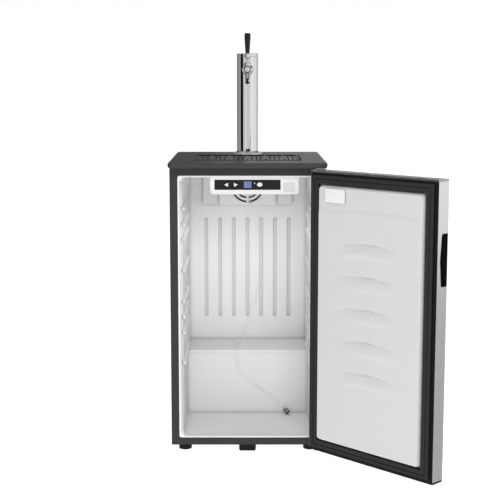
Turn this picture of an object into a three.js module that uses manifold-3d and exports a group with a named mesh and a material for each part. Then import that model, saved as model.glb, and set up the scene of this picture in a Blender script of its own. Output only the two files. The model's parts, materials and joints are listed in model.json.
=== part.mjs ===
// Compact single-tap kegerator, millimetres, +Z up, shown with its door open.
// Inside the model, x = 0 is the cabinet's middle, y = 0 its front plane and z = 0 its bottom
// edge; the whole object is then moved so that its origin is under the front support block.

import * as THREE from 'three';
import { mergeVertices } from 'three/addons/utils/BufferGeometryUtils.js';
import Module from 'manifold-3d';

const wasm = await Module();
wasm.setup();

// ---- driving dimensions ----------------------------------------------------------------

const GAP = 0.3;                       // between pieces that touch
const SHEET = 1;                       // steel sheet of the cabinet

const CABINET = { half: 225, depth: 442, height: 825.5 };
const OPENING = { half: 202, bottom: 22, top: 800.5 };
const LINER = { half: 189, floor: 26, roof: 796, back: 410, wall: 2 };
const STEP = { front: 248.7, top: 230 };
const ENGINE_BAY = { front: 281, top: 198 };

const WORKTOP = { half: 227.2, front: -52.5, back: 457, bottom: 825.8, top: 839.8 };
const RECESS = { half: 159.5, front: 57, back: 305, depth: 10 };
const TRAY_GUTTER_BACK = 123;
const RIB_PITCH = 55;

const FLOOR = -20.5;                   // what the feet stand on
const FOOT = { radius: 19.2, x: 186, frontY: 35, rearY: 400 };
const BLOCK = { half: 25, front: 5, back: 45 };

const HINGE = { x: 209, y: -33.9 };
const DOOR_OPEN_DEGREES = 134.3;
const DOOR = { left: -224, right: 225, inner: -9, outer: -52.5, bottom: 2.1, top: 820.7 };
const DOOR_CAP = 5.4;
const GASKET = { from: 12, to: 36, face: -0.8 };
const PLATEAU = { rise: 15, draft: 8 };
const GRIP = { bottom: 537, top: 678, deep: 36, endDeep: 26, reach: 25 };

const TOWER = { y: 355.4, radius: 33, collar: 36, flange: 45, base: 849.3, top: 1153 };
const FAUCET = { z: 1104, y: 272, pivot: 1118 };

const PANEL = { left: -108, right: 148, bottom: 745, front: 20, back: 75 };
const FASCIA = { half: 95.6, bottom: 758, top: 786.8 };

const FAN = { z: 736, grille: 53.7, rotor: 44 };
const COVER = { half: 142, ductHalf: 90, bottom: 675, front: 396, ductFront: 372 };

const LINE_RADIUS = 5.5;

// ---- materials -------------------------------------------------------------------------

function material(color, roughness, metalness = 0) {
  return new THREE.MeshStandardMaterial({ color, roughness, metalness });
}

const cabinetPaint = material(0x3c3d3f, 0.5);
const blackPlastic = material(0x26272a, 0.55);
const linerPlastic = material(0xdcdcda, 0.45);
const panelPlastic = material(0xe9e9e7, 0.4);
const stainless = material(0xc6c7c9, 0.32, 0.9);
const chrome = material(0xe2e4e6, 0.08, 1);
const zincSteel = material(0xb4b6b8, 0.4, 0.9);
const rubber = material(0x303032, 0.8);
const foamPlastic = material(0xe6dcae, 0.95);
const glossBlack = material(0x0d0d0f, 0.15);
const displayGlass = material(0x8a92c8, 0.15);
const whiteKey = material(0xf2f2f2, 0.4);
const circuitBoard = material(0x2f6b45, 0.6);
const compressorBlack = material(0x1b1b1c, 0.4, 0.3);
const vinyl = material(0xd9dcd8, 0.25);
const aluminium = material(0xc9ccce, 0.4, 0.9);

// ---- solids ----------------------------------------------------------------------------

function signedVolume(position, index) {
  const a = new THREE.Vector3();
  const b = new THREE.Vector3();
  const c = new THREE.Vector3();
  let sum = 0;
  for (let i = 0; i < index.length; i += 3) {
    a.fromArray(position, 3 * index[i]);
    b.fromArray(position, 3 * index[i + 1]);
    c.fromArray(position, 3 * index[i + 2]);
    sum += a.dot(b.cross(c));
  }
  return sum / 6;
}

function solid(geometry) {
  geometry.deleteAttribute('normal');
  geometry.deleteAttribute('uv');
  const merged = mergeVertices(geometry, 1e-4);
  const position = merged.attributes.position.array;
  const source = merged.index.array;
  const index = [];
  for (let i = 0; i < source.length; i += 3) {
    const [a, b, c] = source.slice(i, i + 3);
    if (a !== b && b !== c && c !== a) index.push(a, b, c);
  }
  if (signedVolume(position, index) < 0) index.reverse();
  return new wasm.Manifold(new wasm.Mesh({
    numProp: 3,
    vertProperties: new Float32Array(position),
    triVerts: new Uint32Array(index),
  }));
}

function join(...parts) {
  return parts.reduce((sum, part) => sum.add(part));
}

function cut(body, ...tools) {
  return tools.reduce((rest, tool) => rest.subtract(tool), body);
}

function box(x0, x1, y0, y1, z0, z1) {
  const geometry = new THREE.BoxGeometry(x1 - x0, y1 - y0, z1 - z0);
  return solid(geometry.translate((x0 + x1) / 2, (y0 + y1) / 2, (z0 + z1) / 2));
}

// A round bar between two points, or a hexagonal one with six sides.
function rod(from, to, radius, sides = 20) {
  const start = new THREE.Vector3(...from);
  const end = new THREE.Vector3(...to);
  const along = end.clone().sub(start);
  const geometry = new THREE.CylinderGeometry(radius, radius, along.length(), sides);
  const turn = new THREE.Quaternion();
  turn.setFromUnitVectors(new THREE.Vector3(0, 1, 0), along.clone().normalize());
  geometry.applyQuaternion(turn);
  const middle = start.add(end).multiplyScalar(0.5);
  return solid(geometry.translate(middle.x, middle.y, middle.z));
}

// A turned piece: profile holds [radius, height] pairs, around a vertical or a +Y axis.
function turned(profile, at, sides = 24, alongY = false) {
  const points = profile.map(([radius, height]) => new THREE.Vector2(radius, height));
  const geometry = new THREE.LatheGeometry(points, sides);
  if (!alongY) geometry.rotateX(Math.PI / 2);
  return solid(geometry.translate(...at));
}

function roundedRectangle(x0, x1, y0, y1, radius) {
  const shape = new THREE.Shape();
  shape.absarc(x1 - radius, y1 - radius, radius, 0, Math.PI / 2);
  shape.absarc(x0 + radius, y1 - radius, radius, Math.PI / 2, Math.PI);
  shape.absarc(x0 + radius, y0 + radius, radius, Math.PI, 1.5 * Math.PI);
  shape.absarc(x1 - radius, y0 + radius, radius, 1.5 * Math.PI, 2 * Math.PI);
  shape.closePath();
  return shape;
}

function outline(points) {
  return new THREE.Shape(points.map(([x, y]) => new THREE.Vector2(x, y)));
}

const AXIS_X = new THREE.Vector3(1, 0, 0);
const AXIS_Y = new THREE.Vector3(0, 1, 0);
const AXIS_Z = new THREE.Vector3(0, 0, 1);

// An (x, y) outline raised from z0 to z1.
function raised(shape, z0, z1, options = {}) {
  const settings = { depth: z1 - z0, bevelEnabled: false, curveSegments: 2, ...options };
  return solid(new THREE.ExtrudeGeometry(shape, settings).translate(0, 0, z0));
}

// An (x, z) outline pushed from y0 back to y1.
function pushed(shape, y0, y1, options = {}) {
  const settings = { depth: y1 - y0, bevelEnabled: false, curveSegments: 2, ...options };
  const geometry = new THREE.ExtrudeGeometry(shape, settings);
  const basis = new THREE.Matrix4().makeBasis(AXIS_X, AXIS_Z, AXIS_Y.clone().negate());
  return solid(geometry.applyMatrix4(basis).translate(0, y1, 0));
}

// A (y, z) outline swept across from x0 to x1.
function swept(shape, x0, x1) {
  const settings = { depth: x1 - x0, bevelEnabled: false, curveSegments: 2 };
  const geometry = new THREE.ExtrudeGeometry(shape, settings);
  const basis = new THREE.Matrix4().makeBasis(AXIS_Y, AXIS_Z, AXIS_X);
  return solid(geometry.applyMatrix4(basis).translate(x0, 0, 0));
}

// A round hose or pipe along a smooth curve through its points.
function hose(points, radius, sides, steps) {
  const path = new THREE.CatmullRomCurve3(points.map((point) => new THREE.Vector3(...point)));
  const section = new THREE.Shape();
  for (let i = 0; i < sides; i += 1) {
    const angle = 2 * Math.PI * i / sides;
    const corner = [radius * Math.cos(angle), radius * Math.sin(angle)];
    if (i === 0) section.moveTo(...corner);
    else section.lineTo(...corner);
  }
  return solid(new THREE.ExtrudeGeometry(section, { extrudePath: path, steps }));
}

const kegerator = new THREE.Group();
kegerator.name = 'kegerator';
kegerator.position.set(0, -(BLOCK.front + BLOCK.back) / 2, -FLOOR);

function piece(name, body, look, parent = kegerator) {
  const { vertProperties, triVerts } = body.getMesh();
  const geometry = new THREE.BufferGeometry();
  geometry.setAttribute('position', new THREE.BufferAttribute(vertProperties, 3));
  geometry.setIndex(new THREE.BufferAttribute(triVerts, 1));
  geometry.computeVertexNormals();
  const mesh = new THREE.Mesh(geometry, look);
  mesh.name = name;
  parent.add(mesh);
}

// ---- liner -----------------------------------------------------------------------------

const GROOVE = { pitch: 44.6, bottom: 306, top: 631, radius: 6, depth: 6, outermost: 3 };
const RAIL = { front: 14, back: 273, proud: 8, half: 4, pitch: 46, lowest: 336 };
const RAIL_STEPS = [0, 1, 2, 4, 6, 7, 8];
const STUB_RAIL = 246;
const FLARE = { size: 8, depth: 14 };
const STEP_LIP = { proud: 2, height: 7 };
const STEP_TROUGH = { width: 6, depth: 3 };
const FLOOR_PANEL = { half: 176, front: 18, back: 238, rise: 1.2 };

function groove(index, grow) {
  const x = index * GROOVE.pitch;
  const reach = GROOVE.radius + grow;
  const { bottom, top, depth } = GROOVE;
  const shape = roundedRectangle(x - reach, x + reach, bottom - grow, top + grow, reach);
  return pushed(shape, LINER.back - 5, LINER.back + depth + grow, { curveSegments: 4 });
}

// The compressor step with the lip along its front edge.
function stepSolid(grow) {
  const side = LINER.half + 9;
  const { proud, height } = STEP_LIP;
  const [front, back, top] = [STEP.front + grow, LINER.back + 9, STEP.top - grow];
  const block = box(-side, side, front, back, LINER.floor - 9, top);
  return join(block, box(-side, side, front - proud, front + 9, STEP.top - height + grow, top));
}

// The space inside the liner, or with grow > 0 the outside of its walls.
function linerSpace(grow) {
  const { half, floor, roof, back } = LINER;
  const [side, low, high, rear] = [half + grow, floor - grow, roof + grow, back + grow];
  const main = pushed(roundedRectangle(-side, side, low, high, 10), grow > 0 ? 0.5 : -2, rear);
  const { size, depth } = FLARE;
  const mouth = roundedRectangle(-side, side, low + size, high - size, 10);
  const bevel = { bevelEnabled: true, bevelSegments: 1, bevelSize: size, bevelThickness: depth };
  const flare = pushed(mouth, 0, GAP, bevel).intersect(box(-300, 300, 0, 60, 0, 900));
  const trough = box(
    -side, side, back - STEP_TROUGH.width - grow, rear,
    STEP.top - STEP_TROUGH.depth - grow, STEP.top + 5,
  );
  let space = join(cut(main, stepSolid(grow)), flare, trough);
  for (let i = -GROOVE.outermost; i <= GROOVE.outermost; i += 1) space = join(space, groove(i, grow));
  return space;
}

function rail(side, z) {
  const wall = side * (LINER.half + 1);
  const tip = side * (LINER.half - RAIL.proud);
  const section = [
    [wall, z - RAIL.half], [wall, z + RAIL.half + 4], [tip, z + RAIL.half - 1], [tip, z - RAIL.half],
  ];
  return pushed(outline(section), RAIL.front, RAIL.back);
}

function makeLiner() {
  const { half, bottom, top } = OPENING;
  const lip = roundedRectangle(-half + GAP, half - GAP, bottom + GAP, top - GAP, 6);
  let liner = join(linerSpace(LINER.wall), pushed(lip, 0, 1.5));
  liner = cut(liner, linerSpace(0), box(-300, 300, -5, 0, 0, 900));
  const heights = [STUB_RAIL, ...RAIL_STEPS.map((step) => RAIL.lowest + step * RAIL.pitch)];
  for (const z of heights) liner = join(liner, rail(-1, z), rail(1, z));
  const { half: reach, front, back, rise } = FLOOR_PANEL;
  liner = join(liner, box(-reach, reach, front, back, LINER.floor - 1, LINER.floor + rise));
  return cut(liner, rod([0, TOWER.y, LINER.roof - 16], [0, TOWER.y, LINER.roof + 14], 10.3));
}

// ---- cabinet ---------------------------------------------------------------------------

function footPlaces() {
  return [
    ['front_left_foot', -FOOT.x, FOOT.frontY],
    ['front_right_foot', FOOT.x, FOOT.frontY],
    ['rear_left_foot', -FOOT.x, FOOT.rearY],
    ['rear_right_foot', FOOT.x, FOOT.rearY],
  ];
}

function makeShell() {
  const { half, depth, height } = CABINET;
  const outer = box(-half, half, 0, depth, 0, height);
  const inner = box(-half + SHEET, half - SHEET, SHEET, depth - SHEET, -1, height - SHEET);
  const mouth = roundedRectangle(-OPENING.half, OPENING.half, OPENING.bottom, OPENING.top, 6);
  const rearMouth = box(-half + 14, half - 14, depth - 5, depth + 5, -1, ENGINE_BAY.top - 8);
  return cut(outer, inner, pushed(mouth, -5, 5), rearMouth, towerHole(height - 9, height + 9));
}

function towerHole(z0, z1) {
  return rod([0, TOWER.y, z0], [0, TOWER.y, z1], 22);
}

function makeFoam() {
  const side = CABINET.half - SHEET - GAP;
  const back = CABINET.depth - SHEET - GAP;
  const outer = box(-side, side, SHEET + GAP, back, 1.8, CABINET.height - SHEET - GAP);
  const lip = box(-OPENING.half - 1, OPENING.half + 1, -5, 1.8, OPENING.bottom - 1, OPENING.top + 1);
  const bay = box(-300, 300, ENGINE_BAY.front, 500, -5, ENGINE_BAY.top);
  let foam = cut(outer, linerSpace(LINER.wall + GAP), lip, bay, towerHole(780, 830));
  for (const [, x, y] of footPlaces()) foam = cut(foam, rod([x, y, -5], [x, y, 18], 6.5, 16));
  return foam;
}

// The base plate with the bulkhead and roof of the compressor bay welded to it.
function makeBaseFrame() {
  const side = CABINET.half - SHEET - GAP;
  const [front, back] = [SHEET + GAP, CABINET.depth - 3.2];
  const [wall, roof] = [ENGINE_BAY.front + GAP, ENGINE_BAY.top - GAP];
  const profile = outline([
    [front, 0.2], [back, 0.2], [back, 1.4], [wall + 1, 1.4], [wall + 1, roof - 1],
    [back, roof - 1], [back, roof], [wall, roof], [wall, 1.4], [front, 1.4],
  ]);
  let frame = swept(profile, -side, side);
  for (const [, x, y] of footPlaces()) frame = cut(frame, rod([x, y, -2], [x, y, 4], 4.6, 16));
  return frame;
}

function makeRearCover() {
  const side = CABINET.half - SHEET - GAP;
  const back = CABINET.depth - SHEET - GAP;
  let cover = box(-side, side, back - SHEET, back, 1.8, ENGINE_BAY.top - 3);
  for (let row = 0; row < 2; row += 1) {
    for (let column = 0; column < 9; column += 1) {
      const x = -180 + column * 30;
      const z = 40 + row * 72;
      cover = cut(cover, box(x, x + 6, back - 5, back + 5, z, z + 56));
    }
  }
  return cut(cover, rod([170, back - 9, 60], [170, back + 9, 60], 8.3, 20));
}

function makeFoot(x, y) {
  const profile = [[0, FLOOR], [FOOT.radius, FLOOR], [FOOT.radius, -5], [FOOT.radius - 3, -2.4],
    [7, -2.4], [4, -0.4], [4, 14], [0, 14]];
  return turned(profile, [x, y, 0], 18);
}

function makeSupportBlock() {
  const { half, front, back } = BLOCK;
  const body = raised(roundedRectangle(-half, half, front, back, 4), FLOOR + 4, -0.1);
  return join(body, raised(roundedRectangle(-half + 1, half - 1, front + 1, back - 1, 4), FLOOR, FLOOR + 5));
}

function makeCabinet() {
  piece('cabinet_shell', makeShell(), cabinetPaint);
  piece('insulation_foam', makeFoam(), foamPlastic);
  piece('inner_liner', makeLiner(), linerPlastic);
  piece('base_frame', makeBaseFrame(), zincSteel);
  piece('rear_cover', makeRearCover(), cabinetPaint);
  piece('front_support_block', makeSupportBlock(), blackPlastic);
  for (const [name, x, y] of footPlaces()) piece(name, makeFoot(x, y), blackPlastic);
}

// ---- worktop and drip tray -------------------------------------------------------------

function makeWorktop() {
  const { half, front, back, bottom, top } = WORKTOP;
  const round = 3;
  const shape = roundedRectangle(-half + round, half - round, front + round, back - round, 12);
  const bevel = { bevelEnabled: true, bevelSize: round, bevelThickness: round, bevelSegments: 3 };
  const slab = raised(shape, bottom + round, top - round, bevel);
  const recess = roundedRectangle(-RECESS.half, RECESS.half, RECESS.front, RECESS.back, 8);
  return cut(slab, raised(recess, top - RECESS.depth, top + 5), towerHole(bottom - 5, top + 5));
}

function makeDripTray() {
  const { half, front, back, depth } = RECESS;
  const floor = WORKTOP.top - depth + GAP;
  const rim = WORKTOP.top - 0.4;
  const outer = roundedRectangle(-half + 0.5, half - 0.5, front + 0.5, back - 0.5, 7.5);
  const inner = roundedRectangle(-half + 2.5, half - 2.5, front + 2.5, back - 2.5, 5.5);
  const tray = cut(raised(outer, floor, rim), raised(inner, floor + 2, rim + 5));
  const shelfFront = TRAY_GUTTER_BACK + 2;
  const shelf = cut(
    raised(roundedRectangle(-half + 2, half - 2, shelfFront, back - 2, 6), floor + 1, floor + 4.4),
    box(-half + 20, half - 20, shelfFront + 12, back - 18, floor + 2, floor + 9),
  );
  return join(tray, shelf);
}

function makeDripGrate() {
  const { half, back, depth } = RECESS;
  const base = WORKTOP.top - depth + GAP + 4.7;
  const front = TRAY_GUTTER_BACK + 3;
  const end = back - 5;
  const reach = half - 4.5;
  let grate = box(-reach, reach, front, end, base, base + 1.5);
  for (let i = -3; i <= 3; i += 1) {
    const x = Math.max(-reach + 2.5, Math.min(reach - 2.5, i * RIB_PITCH));
    grate = join(grate, box(x - 2.5, x + 2.5, front, end, base + 1, base + 4));
  }
  for (let gap = -3; gap < 3; gap += 1) {
    for (const across of [1, 2, 3]) {
      const x = gap * RIB_PITCH + across * RIB_PITCH / 4;
      grate = cut(grate, box(x - 2, x + 2, front + 12, end - 12, base - 1, base + 2));
    }
  }
  return grate;
}

function makeTop() {
  piece('worktop', makeWorktop(), cabinetPaint);
  piece('drip_tray', makeDripTray(), glossBlack);
  piece('drip_grate', makeDripGrate(), glossBlack);
}

// ---- evaporator, fan -------------------------------------------------------------------

function makeEvaporatorCover() {
  const { half, ductHalf, bottom, front, ductFront } = COVER;
  const back = LINER.back - GAP;
  const roof = LINER.roof - GAP;
  const panel = pushed(roundedRectangle(-half, half, bottom, roof, 5), front, back);
  const duct = pushed(roundedRectangle(-ductHalf, ductHalf, bottom, roof, 5), ductFront, back);
  const hollow = box(-half + 2.5, half - 2.5, front + 2.5, back + 5, bottom + 2.5, roof + 5);
  const ductHollow = box(-ductHalf + 2.5, ductHalf - 2.5, ductFront + 2.5, back + 5, bottom + 2.5, roof + 5);
  const mouth = rod([0, ductFront - 5, FAN.z], [0, ductFront + 9, FAN.z], FAN.grille + GAP, 28);
  return cut(join(panel, duct), hollow, ductHollow, mouth);
}

function makeFanGrille() {
  const front = COVER.ductFront - 1;
  const back = COVER.ductFront + 2.2;
  let grille = rod([0, front, FAN.z], [0, back, FAN.z], FAN.grille, 28);
  for (const radius of [22.5, 36.5, 50]) {
    const half = 1.7;
    const outer = rod([0, front - 2, FAN.z], [0, back + 2, FAN.z], radius + half, 28);
    const inner = rod([0, front - 3, FAN.z], [0, back + 3, FAN.z], radius - half, 28);
    const spokes = join(
      box(-4, 4, front - 4, back + 4, FAN.z - 60, FAN.z + 60),
      box(-60, 60, front - 4, back + 4, FAN.z - 4, FAN.z + 4),
    );
    grille = cut(grille, cut(outer, inner, spokes));
  }
  return grille;
}

function makeFanRotor() {
  const front = 378;
  const back = 388;
  let rotor = rod([0, front, FAN.z], [0, back, FAN.z], 14, 24);
  const bladeCount = 5;
  for (let i = 0; i < bladeCount; i += 1) {
    const blade = new THREE.BoxGeometry(FAN.rotor - 12, 1.6, 15);
    blade.rotateX(Math.PI / 6);
    blade.translate((FAN.rotor + 12) / 2, 0, 0);
    blade.rotateY(2 * Math.PI * i / bladeCount);
    rotor = join(rotor, solid(blade.translate(0, (front + back) / 2, FAN.z)));
  }
  return cut(rotor, rod([0, front + 2, FAN.z], [0, back + 5, FAN.z], 2.2, 16));
}

function makeEvaporator() {
  const { half, front, ductFront } = COVER;
  piece('evaporator_cover', makeEvaporatorCover(), linerPlastic);
  piece('fan_grille', makeFanGrille(), linerPlastic);
  piece('fan_rotor', makeFanRotor(), blackPlastic);
  const motor = join(
    rod([0, 391, FAN.z], [0, 407, FAN.z], 15),
    rod([0, ductFront + 10, FAN.z], [0, 392, FAN.z], 1.9, 16),
  );
  piece('fan_motor', motor, blackPlastic);
  const plate = box(-half + 9, half - 9, front + 5, front + 7, COVER.bottom + 15, LINER.roof - 8);
  piece('evaporator_plate', cut(plate, rod([0, 390, FAN.z], [0, 410, FAN.z], 17)), aluminium);
}

// ---- control panel ---------------------------------------------------------------------

const BOARD_FRONT = PANEL.front + 8.4;
const KEY = { z: 772.5, half: 5.6, proud: 0.8, travel: 1.5, clearance: 0.5 };
const KEYS = {
  down_button: { tip: -67.5, base: -56.5, flange: [-70, -54, 765, 780] },
  up_button: { tip: -28, base: -39, flange: [-42, -26, 765, 780] },
  power_button: { middle: 35.5, reach: [7.6, 6], flange: [26, 45, 764.5, 781.5] },
};
const DISPLAY = [-10.5, 11.5, 763, 782];
const STATUS_LIGHT = { x: 20.6, z: 777, radius: 1.7 };
const LAMP = [105, 135, 752, 778];

// A key's outline: a triangle that points sideways, or an oval. With grow it is the key's hole.
function keySection(name, grow = 0) {
  const { tip, base, middle, reach } = KEYS[name];
  if (middle) {
    const oval = new THREE.Shape();
    oval.absellipse(middle, KEY.z + 0.5, reach[0] + grow, reach[1] + grow, 0, 2 * Math.PI);
    return oval;
  }
  const away = Math.sign(base - tip);
  const half = KEY.half + 1.6 * grow;
  const foot = base + away * grow;
  return outline([[tip - away * 2.2 * grow, KEY.z], [foot, KEY.z - half], [foot, KEY.z + half]]);
}

// A key is a shaped cap on a wider flange that rests behind the strip, with a stem to the board.
function makeKey(name, seat) {
  const [x0, x1, z0, z1] = KEYS[name].flange;
  const [x, z] = [(x0 + x1) / 2, (z0 + z1) / 2];
  const cap = pushed(keySection(name), PANEL.front - KEY.proud, seat + 0.5, { curveSegments: 8 });
  const flange = pushed(roundedRectangle(x0, x1, z0, z1, 2), seat + GAP, seat + 1.5);
  const stem = box(x - 2, x + 2, seat + 1, BOARD_FRONT - KEY.travel - GAP, z - 2, z + 2);
  return join(cap, flange, stem);
}

// A flat box in the panel's face, grown sideways, from x0, x1, z0, z1.
function inset([x0, x1, z0, z1], grow, y0, y1) {
  return box(x0 - grow, x1 + grow, y0, y1, z0 - grow, z1 + grow);
}

function makeControlHousing() {
  const { left, right, bottom, front, back } = PANEL;
  const top = LINER.roof - GAP;
  const shape = new THREE.Shape();
  shape.absarc(right - 8, bottom + 8, 8, 1.5 * Math.PI, 2 * Math.PI);
  shape.lineTo(right, top);
  shape.lineTo(left, top);
  shape.absarc(left + 12, bottom + 12, 12, Math.PI, 1.5 * Math.PI);
  shape.closePath();
  const body = pushed(shape, front, back, { curveSegments: 5 });
  const hollow = box(left + 2.5, right - 2.5, front + 3, back - 2.5, bottom + 2.5, top + 5);
  const strip = [-FASCIA.half, FASCIA.half, FASCIA.bottom, FASCIA.top];
  return cut(
    body, hollow,
    inset(strip, GAP, front - 5, front + 2), inset(strip, -4, front - 5, front + 5),
    inset(LAMP, GAP, front - 5, front + 2), inset(LAMP, -3, front - 5, front + 5),
  );
}

function makeControlFascia(seat) {
  const { front } = PANEL;
  const { x, z, radius } = STATUS_LIGHT;
  let strip = box(-FASCIA.half, FASCIA.half, front, seat, FASCIA.bottom, FASCIA.top);
  for (const name of Object.keys(KEYS)) {
    const hole = keySection(name, KEY.clearance);
    strip = cut(strip, pushed(hole, front - 5, seat + 5, { curveSegments: 8 }));
  }
  strip = cut(strip, inset(DISPLAY, GAP, front - 5, seat + 5));
  return cut(strip, rod([x, front - 5, z], [x, seat + 5, z], radius + GAP, 16));
}

function makeControlPanel() {
  const { front } = PANEL;
  const seat = front + 1.8;
  const { x, z, radius } = STATUS_LIGHT;
  piece('control_housing', makeControlHousing(), panelPlastic);
  piece('control_fascia', makeControlFascia(seat), glossBlack);
  for (const name of Object.keys(KEYS)) piece(name, makeKey(name, seat), whiteKey);
  piece('display_window', inset(DISPLAY, 0, front - 0.2, seat + 3), displayGlass);
  piece('status_led', rod([x, front - 0.4, z], [x, seat + 3, z], radius, 16), whiteKey);
  piece('control_board', inset([-88, 88, 756, 790], 0, BOARD_FRONT, BOARD_FRONT + 1.6), circuitBoard);
  piece('interior_light_lens', inset(LAMP, 0, front - 1, front + 1.7), panelPlastic);
}

// ---- refrigeration ---------------------------------------------------------------------

const COMPRESSOR = { x: -90, y: 360, radius: 60 };

// A flat serpentine on the back of the cabinet, held by four feet on stand-off pads.
function makeCondenser() {
  const y0 = CABINET.depth + 2.8;
  const y1 = y0 + 5;
  const reach = 185;
  const half = 2.5;
  const pitch = 52;
  const lowest = 250;
  const runs = 10;
  let coil = box(-reach, reach, y0, y1, lowest - half, lowest + half);
  for (let i = 1; i < runs; i += 1) {
    const z = lowest + i * pitch;
    const side = i % 2 ? 1 : -1;
    const bend = new THREE.Shape();
    bend.absarc(side * reach, z - pitch / 2, pitch / 2 + half, -Math.PI / 2, Math.PI / 2, side < 0);
    bend.absarc(side * reach, z - pitch / 2, pitch / 2 - half, Math.PI / 2, -Math.PI / 2, side > 0);
    bend.closePath();
    const run = box(-reach, reach, y0, y1, z - half, z + half);
    coil = join(coil, pushed(bend, y0, y1, { curveSegments: 4 }), run);
  }
  for (const side of [-1, 1]) {
    for (const z of [lowest + pitch, lowest + 8 * pitch]) {
      const [inner, outer] = [side * (reach - 9), side * (CABINET.half - 4)].sort((a, b) => a - b);
      const pad = side * (CABINET.half - 7);
      coil = join(coil, box(inner, outer, y1 - 1, y1 + 1, z - 6, z + 6));
      coil = join(coil, box(pad - 3, pad + 3, CABINET.depth + GAP, y1 + 1, z - 6, z + 6));
    }
  }
  return coil;
}

function makeRefrigeration() {
  const { x, y, radius } = COMPRESSOR;
  const dome = [[0, 20], [radius - 8, 20], [radius, 30], [radius, 88], [radius + 2.5, 90], [radius + 2.5, 95],
    [radius, 97], [radius - 2, 130], [radius - 14, 150], [radius - 34, 160], [0, 163]];
  const relayBox = box(x + radius - 8, x + radius + 36, y - 22, y + 22, 50, 84);
  piece('compressor', join(turned(dome, [x, y, 0], 24), relayBox), compressorBlack);
  let mount = raised(roundedRectangle(x - 78, x + 78, y - 62, y + 62, 10), 15.4, 19.4);
  for (const dx of [-66, 66]) {
    for (const dy of [-50, 50]) {
      mount = join(mount, rod([x + dx, y + dy, 1.7], [x + dx, y + dy, 16], 9, 16));
    }
  }
  piece('compressor_mount', mount, rubber);
  piece('condenser', makeCondenser(), compressorBlack);
  const back = CABINET.depth - SHEET - GAP;
  const gland = [
    [0, back - 8], [8, back - 8], [8, back + GAP],
    [12, back + GAP], [11, back + 6], [0, back + 6],
  ];
  const bore = rod([170, back - 20, 60], [170, back + 20, 60], 4, 16);
  piece('power_cord_gland', cut(turned(gland, [170, 0, 60], 16, true), bore), rubber);
}

// ---- door hinge hardware ---------------------------------------------------------------

function makeHinges() {
  const { x, y } = HINGE;
  const left = 196;
  const right = 222;
  const upper = join(
    box(left, right, -2.3, -GAP, 809.5, 824.3),
    box(left, right, -46, -GAP, 821.8, 824.3),
    rod([x, y, 811], [x, y, 823], 4, 20),
    rod([202, -3.5, 816], [202, -2, 816], 3.2, 16),
    rod([216, -3.5, 816], [216, -2, 816], 3.2, 16),
  );
  const lower = join(
    box(left, right, -46, 14, -3.4, -0.6),
    rod([x, y, -2], [x, y, 12], 4, 20),
    rod([202, 7, -5.2], [202, 7, -3], 3.4, 16),
    rod([216, 7, -5.2], [216, 7, -3], 3.4, 16),
  );
  piece('upper_hinge_bracket', upper, zincSteel);
  piece('lower_hinge_bracket', lower, zincSteel);
}

// ---- door ------------------------------------------------------------------------------

const door = new THREE.Group();
door.position.set(HINGE.x, HINGE.y, 0);
door.rotation.z = THREE.MathUtils.degToRad(DOOR_OPEN_DEGREES);
const closedDoor = new THREE.Group();
closedDoor.position.set(-HINGE.x, -HINGE.y, 0);
door.add(closedDoor);
kegerator.add(door);

// The finger pocket's outline on the door edge, bowed inwards and open to the outer face.
function gripSpace(grow, x0, x1) {
  const { bottom, top, deep, endDeep } = GRIP;
  const shallow = DOOR.outer + endDeep + grow;
  const far = DOOR.outer + deep + grow;
  const middle = (bottom + top) / 2;
  const shape = new THREE.Shape();
  shape.moveTo(DOOR.outer - 5, bottom - grow);
  shape.lineTo(shallow - 4, bottom - grow);
  shape.quadraticCurveTo(shallow, bottom - grow, shallow + 1, bottom - grow + 5);
  shape.quadraticCurveTo(far + 2, middle, shallow + 1, top + grow - 5);
  shape.quadraticCurveTo(shallow, top + grow, shallow - 4, top + grow);
  shape.lineTo(DOOR.outer - 5, top + grow);
  shape.closePath();
  return swept(shape, x0, x1);
}

function borderRing(from, to, y0, y1, radius) {
  const { left, right, bottom, top } = DOOR;
  const outer = roundedRectangle(left + from, right - from, bottom + from, top - from, radius);
  const inner = roundedRectangle(left + to, right - to, bottom + to, top - to, radius / 2);
  return cut(pushed(outer, y0, y1), pushed(inner, y0 - 5, y1 + 5));
}

function makeDoorSkin() {
  const { left, right, inner, outer, bottom, top } = DOOR;
  const z0 = bottom + DOOR_CAP + GAP;
  const z1 = top - DOOR_CAP - GAP;
  const skin = cut(
    box(left, right, outer, inner - 0.6, z0, z1),
    box(left + 0.8, right - 0.8, outer + 0.8, inner + 5, z0 - 5, z1 + 5),
  );
  return cut(skin, gripSpace(GAP, left - 5, left + GRIP.reach + GAP));
}

function makeDoorFoam() {
  const { left, right, inner, outer, bottom, top } = DOOR;
  const side = 0.8 + GAP;
  const z0 = bottom + DOOR_CAP + GAP;
  const z1 = top - DOOR_CAP - GAP;
  const block = box(left + side, right - side, outer + side, inner - 4.3, z0, z1);
  const pins = rod([HINGE.x, HINGE.y, 0], [HINGE.x, HINGE.y, 900], 8, 16).intersect(
    join(box(0, 300, -99, 0, 0, 20), box(0, 300, -99, 0, top - 20, top)),
  );
  return cut(block, gripSpace(GAP, left - 5, left + GRIP.reach + GAP), pins);
}

function makeGripInsert() {
  const { left, outer } = DOOR;
  const shell = gripSpace(0, left + 0.2, left + GRIP.reach).intersect(
    box(left - 1, 0, outer + 0.2, 0, 0, 900),
  );
  const hollow = gripSpace(-2, left - 5, left + GRIP.reach - 2).intersect(
    box(left - 6, 0, outer + 2.2, 0, 0, 900),
  );
  return cut(shell, hollow);
}

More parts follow.
